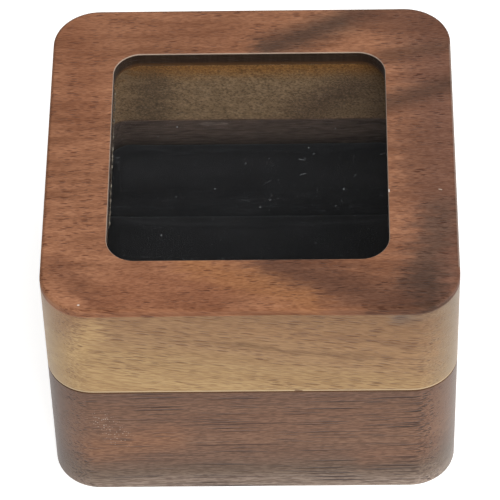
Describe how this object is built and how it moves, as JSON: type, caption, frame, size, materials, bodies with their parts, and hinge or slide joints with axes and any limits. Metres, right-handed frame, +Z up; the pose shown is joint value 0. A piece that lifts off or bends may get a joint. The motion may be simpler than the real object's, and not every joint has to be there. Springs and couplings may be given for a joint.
{
  "type": "double ring box",
  "caption": "Square walnut ring box with a lift-off lid, a clear window in the lid and a black velvet pad with two ring slots.",
  "frame": {"origin": "centre of the flat underside, on the surface that the box stands on", "axes": "+Z up out of the lid; +X to the right along the two ring slots; +Y from the front to the back"},
  "size_m": [0.065, 0.065, 0.0445],
  "materials": {
    "base_walnut": "oiled walnut",
    "lid_walnut": "oiled walnut with sapwood along the front",
    "pane": "clear polished",
    "adhesive": "clear, cured",
    "velvet": "black short pile velvet",
    "foam": "dark polyurethane foam",
    "card": "plain grey-black card",
    "magnet": "bright nickel plate"
  },
  "bodies": {
    "base": {"base_block": "base_walnut", "pad_board": "card", "foam_bar_front": "foam", "foam_bar_middle": "foam", "foam_bar_rear": "foam", "velvet_cover_front": "velvet", "velvet_cover_middle": "velvet", "velvet_cover_rear": "velvet", "base_magnet_front_left": "magnet", "base_magnet_front_right": "magnet", "base_magnet_rear_left": "magnet", "base_magnet_rear_right": "magnet"},
    "lid": {"lid_block": "lid_walnut", "window_pane": "pane", "pane_adhesive": "adhesive", "lid_magnet_front_left": "magnet", "lid_magnet_front_right": "magnet", "lid_magnet_rear_left": "magnet", "lid_magnet_rear_right": "magnet"}
  },
  "joints": [
    {"name": "lid_lift", "type": "slide", "parent": "base", "child": "lid", "axis": [0, 0, 1], "range_m": [0, 0.06]}
  ]
}
